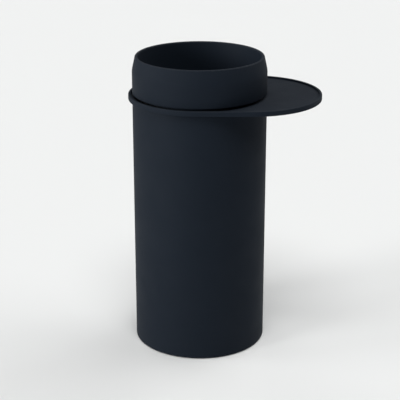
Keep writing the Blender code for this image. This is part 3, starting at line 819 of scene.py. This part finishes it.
def handle_grip(plastic):
    """A moulded tube round the bail, with a collar at each end and ribs between them."""
    low, _, middle = spots_of("handle_grip")
    bail_r = -low.x - GRIP_R
    steps = GRIP_RIBS * GRIP_RIB_STEPS
    path, radii = [], []
    for i in range(steps + 1):
        place = i / steps
        path.append(around(AXIS, bail_r, math.pi - GRIP_HALF + 2 * GRIP_HALF * place, middle.z))
        ribbed = GRIP_COLLAR < place < 1 - GRIP_COLLAR
        wave = (1 - math.cos(math.tau * GRIP_RIBS * place)) / 2
        radii.append(GRIP_R - (GRIP_GROOVE * wave if ribbed else 0))
    radii[0] = radii[-1] = GRIP_R - GRIP_GROOVE
    bore = [GRIP_BORE_R] * len(path)
    loops = swept(path, radii) + list(reversed(swept(path, bore)))
    return piece("handle_grip", loops, plastic)


def handle_ear(node, zinc):
    """A bent bracket: a foot for two rivets, and a rounded lug that holds the bail."""
    low, high, middle = spots_of(node)
    pivot_z = high.z - EAR_LUG_R
    side = math.copysign(1, middle.y)
    near, far = sorted((abs(low.y), abs(high.y)))
    bracket = [
        (far, low.z, 0),
        (near, low.z, EAR_BEND_OUT),
        (near, high.z, 0),
        (near + EAR_SHEET, high.z, 0),
        (near + EAR_SHEET, low.z + EAR_SHEET, EAR_BEND_IN),
        (far, low.z + EAR_SHEET, 0),
    ]
    section = [point for point, _ in rounded(bracket)]
    loops = [([Vector((x, side * p.x, p.y)) for p in section], 0.0) for x in (low.x, high.x)]
    ear = piece(node, loops, zinc, capped=True)
    left, right = low.x - EAR_MARGIN, high.x + EAR_MARGIN
    step_z = low.z + EAR_SHEET + EAR_STEP
    outline = [(left, low.z - EAR_MARGIN), (right, low.z - EAR_MARGIN), (right, step_z)]
    for i in range(SMALL_STEPS // 2 + 1):
        turn = math.tau * i / SMALL_STEPS
        outline.append((EAR_LUG_R * math.cos(turn), pivot_z + EAR_LUG_R * math.sin(turn)))
    outline.append((left, step_z))
    depth = (side * (near - CUT_PAST), side * (far + CUT_PAST))
    combine(ear, [[Vector((x, y, z)) for x, z in outline] for y in depth], "INTERSECT")
    pin = circle(EAR_PIN_R, 0, SMALL_STEPS)
    combine(ear, [[Vector((p.x, y, pivot_z + p.y)) for p in pin] for y in depth])
    rivets = middles(name for name in numbered("ear_rivet") if spots_of(name)[2].y * side > 0)
    drill(ear, rivets, [(RIVET_HOLE_R, low.z - CUT_PAST), (RIVET_HOLE_R, low.z + EAR_SHEET + CUT_PAST)])
    bevel = ear.modifiers.new("bevel", "BEVEL")
    bevel.width = EAR_BEVEL
    bevel.segments = EAR_BEVEL_STEPS
    bevel.limit_method = "ANGLE"
    return ear


# ------------------------------------------------------------------ fasteners and base


def dome(seat_r, top_r, seat_z, top_z):
    """A rounded head's profile, from its seat to its flat top."""
    width, height = seat_r - top_r, top_z - seat_z
    turns = [math.pi / 2 * i / DOME_STEPS for i in range(DOME_STEPS + 1)]
    return [(top_r + width * math.cos(turn), seat_z + height * math.sin(turn)) for turn in turns]


def threaded(core_r, outer_r, low_z, high_z, pitch):
    """A screw thread's profile as plain ridges."""
    count = int((high_z - low_z) / pitch)
    ridge = ((core_r, 0.0), *((outer_r, share) for share in THREAD_CREST))
    points = [(radius, low_z + (i + share) * pitch) for i in range(count) for radius, share in ridge]
    return [*points, (core_r, low_z + count * pitch)]


def hexagon(across, z, centre, steps, limit=math.inf):
    """A hexagon walked in equal turns, cut back to a circle where limit is less than its reach."""
    loop = []
    for i in range(steps):
        turn = math.tau * i / steps
        from_middle = (turn + math.pi / HEX_SIDES) % (math.tau / HEX_SIDES) - math.pi / HEX_SIDES
        reach = min(across / 2 / math.cos(from_middle), limit)
        loop.append(around(centre, reach, turn, z))
    return loop


def fastener(node, profile, surface, socket=True):
    """A turned screw or rivet on its own axis, with a hexagonal key socket in a screw's head."""
    _, high, middle = spots_of(node)
    loops = [(circle(radius, z, SMALL_STEPS, middle), 0.0) for radius, z in profile]
    made = piece(node, loops, surface, capped=True)
    if socket:
        depths = (high.z - SOCKET_DEPTH, high.z + CUT_PAST)
        combine(made, [hexagon(SOCKET_ACROSS, z, middle, HEX_SIDES) for z in depths])
    return made


def base_screw(node, zinc):
    """A button-head screw."""
    low, high, _ = spots_of(node)
    seat = high.z - BUTTON_HEIGHT
    shank = threaded(SCREW_R - FINE_DEPTH, SCREW_R, low.z, seat - FINE_PITCH, FINE_PITCH)
    head = dome((high.x - low.x) / 2, BUTTON_TOP_R, seat, high.z)
    return fastener(node, [*shank, (SCREW_R, seat), *head], zinc)


def neck_screw(node, zinc):
    """A countersunk screw."""
    low, high, _ = spots_of(node)
    cone_foot = high.z - SINK_HEIGHT
    shank = threaded(SCREW_R - FINE_DEPTH, SCREW_R, low.z, cone_foot - FINE_PITCH, FINE_PITCH)
    head = [(SCREW_R, cone_foot), ((high.x - low.x) / 2, high.z)]
    return fastener(node, [*shank, *head], zinc)


def ear_rivet(node, zinc):
    """A domed rivet with a plain shank."""
    low, high, _ = spots_of(node)
    seat = high.z - RIVET_HEAD_HEIGHT
    head = dome((high.x - low.x) / 2, RIVET_TOP_R, seat, high.z)
    return fastener(node, [(RIVET_R, low.z), (RIVET_R, seat), *head], zinc, socket=False)


def nut(node, zinc, pitch, depth):
    """A hexagon nut with chamfered corners and a threaded bore."""
    low, high, middle = spots_of(node)
    across = high.x - low.x
    bore_r = min((point - middle).to_2d().length for point in points_of(node))
    chamfer = across * NUT_CHAMFER
    loops = [
        hexagon(across, low.z, middle, SMALL_STEPS, across / 2),
        hexagon(across, low.z + chamfer, middle, SMALL_STEPS),
        hexagon(across, high.z - chamfer, middle, SMALL_STEPS),
        hexagon(across, high.z, middle, SMALL_STEPS, across / 2),
    ]
    thread = threaded(bore_r + depth, bore_r, low.z, high.z - pitch / 2, pitch)
    loops += [circle(radius, z, SMALL_STEPS, middle) for radius, z in reversed(thread)]
    return piece(node, [(loop, 0.0) for loop in loops], zinc)


def neck_nut(node, zinc):
    """The nut on a neck screw."""
    return nut(node, zinc, FINE_PITCH, FINE_DEPTH)


def anchor_centres():
    """Where the floor anchors go through the base plate and the pad."""
    turns = [math.tau * i / ANCHOR_COUNT for i in range(ANCHOR_COUNT)]
    return [(ANCHOR_PITCH_R * math.cos(turn), ANCHOR_PITCH_R * math.sin(turn)) for turn in turns]


def base_plate(zinc):
    """The body's floor, with a threaded stud, anchor holes and screw holes."""
    low, high, _ = spots_of("base_plate")
    top_z = max(z for z in heights_of("base_plate") if radius_at("base_plate", z, widest=True) > 2 * STUD_R)
    corners = [
        (STUD_R, low.z, 0),
        (high.x, low.z, FINE_EDGE),
        (high.x, top_z, FINE_EDGE),
        (STUD_R, top_z, 0),
    ]
    stud = threaded(STUD_R - THREAD_DEPTH, STUD_R, top_z + THREAD_PITCH, high.z - STUD_TIP, THREAD_PITCH)
    profile = [(point.x, point.y) for point, _ in rounded(corners)]
    profile += [*stud, (STUD_R - THREAD_DEPTH - STUD_TIP, high.z)]
    loops = [(circle(radius, z, PLATE_STEPS), 0.0) for radius, z in profile]
    plate = piece("base_plate", loops, zinc, capped=True)
    depths = (low.z - CUT_PAST, top_z + CUT_PAST)
    drill(plate, anchor_centres(), [(ANCHOR_HOLE_R, z) for z in depths])
    drill(plate, middles(numbered("base_screw")), [(SCREW_HOLE_R, z) for z in depths])
    return plate


def floor_pad(rubber):
    """A rubber disc with ring grooves underneath and room for the floor anchors."""
    low, high, _ = spots_of("floor_pad")
    profile = [(high.x, high.z), (high.x, low.z + PAD_GROOVE), (high.x - PAD_GROOVE, low.z)]
    for share in reversed(PAD_GROOVES):
        middle = high.x * share
        profile += [(middle + 2 * PAD_GROOVE, low.z), (middle + PAD_GROOVE, low.z + PAD_GROOVE)]
        profile += [(middle - PAD_GROOVE, low.z + PAD_GROOVE), (middle - 2 * PAD_GROOVE, low.z)]
    loops = [(circle(radius, z, TURN_STEPS), 0.0) for radius, z in profile]
    pad = piece("floor_pad", loops, rubber, capped=True)
    drill(pad, anchor_centres(), [(PAD_HOLE_R, low.z - CUT_PAST), (PAD_HOLE_R, high.z + CUT_PAST)])
    return pad


def ballast_block(stone):
    """A cast ring that keeps the bin standing."""
    low, high, _ = spots_of("ballast_block")
    bore_r = radius_at("ballast_block", low.z)
    corners = [
        (bore_r, low.z, MM),
        (high.x, low.z, BLOCK_EDGE),
        (high.x, high.z, BLOCK_EDGE),
        (bore_r, high.z, MM),
    ]
    return piece("ballast_block", turned(rounded(corners)), stone)


def ballast_washer(zinc):
    """The washer between the ballast and its nut."""
    low, high, _ = spots_of("ballast_washer")
    bore_r = radius_at("ballast_washer", low.z)
    sides = ((bore_r, low.z), (high.x, low.z), (high.x, high.z), (bore_r, high.z))
    return piece("ballast_washer", turned(rounded([(*side, FINE_EDGE) for side in sides])), zinc)


# ------------------------------------------------------------------ studio


def studio():
    """A paper floor, wide suns for the softboxes, and a faint sky."""
    floor_mesh = bmesh.new()
    bmesh.ops.create_grid(floor_mesh, x_segments=1, y_segments=1, size=FLOOR_HALF)
    mesh = bpy.data.meshes.new("floor")
    floor_mesh.to_mesh(mesh)
    floor_mesh.free()
    floor = bpy.data.objects.new("floor", mesh)
    bpy.context.collection.objects.link(floor)
    paper = Surface("floor_paper", FLOOR_COLOUR, roughness=0.9, specular=0.1)
    paper.roughness(paper.ranged(paper.noise(scale=3.0), 0.3, 0.7, to=(0.88, 0.94)))
    mesh.materials.append(paper.made)

    for name, (turn, up, width, strength) in SUNS.items():
        light = bpy.data.lights.new(name, "SUN")
        light.energy = strength
        light.angle = math.radians(width)
        lamp = bpy.data.objects.new(name, light)
        lamp.rotation_euler = (math.radians(90 - up), 0.0, math.radians(turn))
        bpy.context.collection.objects.link(lamp)

    world = bpy.data.worlds.new("studio")
    world.use_nodes = True
    sky = world.node_tree.nodes["Background"]
    seen = world.node_tree.nodes.new("ShaderNodeLightPath")
    strength = world.node_tree.nodes.new("ShaderNodeMapRange")
    strength.inputs["To Min"].default_value = SKY_STRENGTH
    strength.inputs["To Max"].default_value = SKY_SEEN
    world.node_tree.links.new(seen.outputs["Is Camera Ray"], strength.inputs["Value"])
    world.node_tree.links.new(strength.outputs["Result"], sky.inputs["Strength"])
    sky.inputs["Color"].default_value = (1.0, 1.0, 1.0, 1.0)
    bpy.context.scene.world = world
    bpy.context.scene.view_settings.view_transform = "Standard"


def camera():
    """The photograph's view: from the front and above."""
    lens = bpy.data.cameras.new("camera")
    lens.lens = CAMERA_LENS
    eye = bpy.data.objects.new("camera", lens)
    eye.location = CAMERA_PLACE
    eye.rotation_euler = (math.pi / 2 - CAMERA_DOWN, 0.0, 0.0)
    bpy.context.collection.objects.link(eye)
    bpy.context.scene.camera = eye


def main():
    """Paints the CAD nodes, builds every piece, and sets up the studio."""
    paint = powder_coat()
    zinc = zinc_plate()
    surfaces = {
        "powder_coat": paint,
        "zinc_steel": zinc,
        "galvanised_steel": galvanised(),
        "black_rubber": rubber(),
        "black_plastic": plastic(),
        "concrete": concrete(),
    }
    slots = {part["node"]: part["material_slot"] for part in frame["record"]["subparts"]}
    for name, obj in frame["nodes"].items():
        obj.data.materials.clear()
        obj.data.materials.append(surfaces[slots[name]])

    for build in (body_shell, head_ring, ash_tray, neck_ring):
        build(paint)
    swivel_bush(surfaces["black_plastic"])
    handle_grip(surfaces["black_plastic"])
    head_seal(surfaces["black_rubber"])
    floor_pad(surfaces["black_rubber"])
    liner_bucket(surfaces["galvanised_steel"])
    base_plate(zinc)
    liner_handle(zinc)
    ballast_washer(zinc)
    ballast_block(surfaces["concrete"])
    nut("ballast_nut", zinc, THREAD_PITCH, THREAD_DEPTH)
    for node in numbered("handle_ear"):
        handle_ear(node, zinc)
    fasteners = {
        "base_screw": base_screw,
        "neck_screw": neck_screw,
        "neck_nut": neck_nut,
        "ear_rivet": ear_rivet,
    }
    for name, build in fasteners.items():
        for node in numbered(name):
            build(node, zinc)
    studio()
    camera()


main()
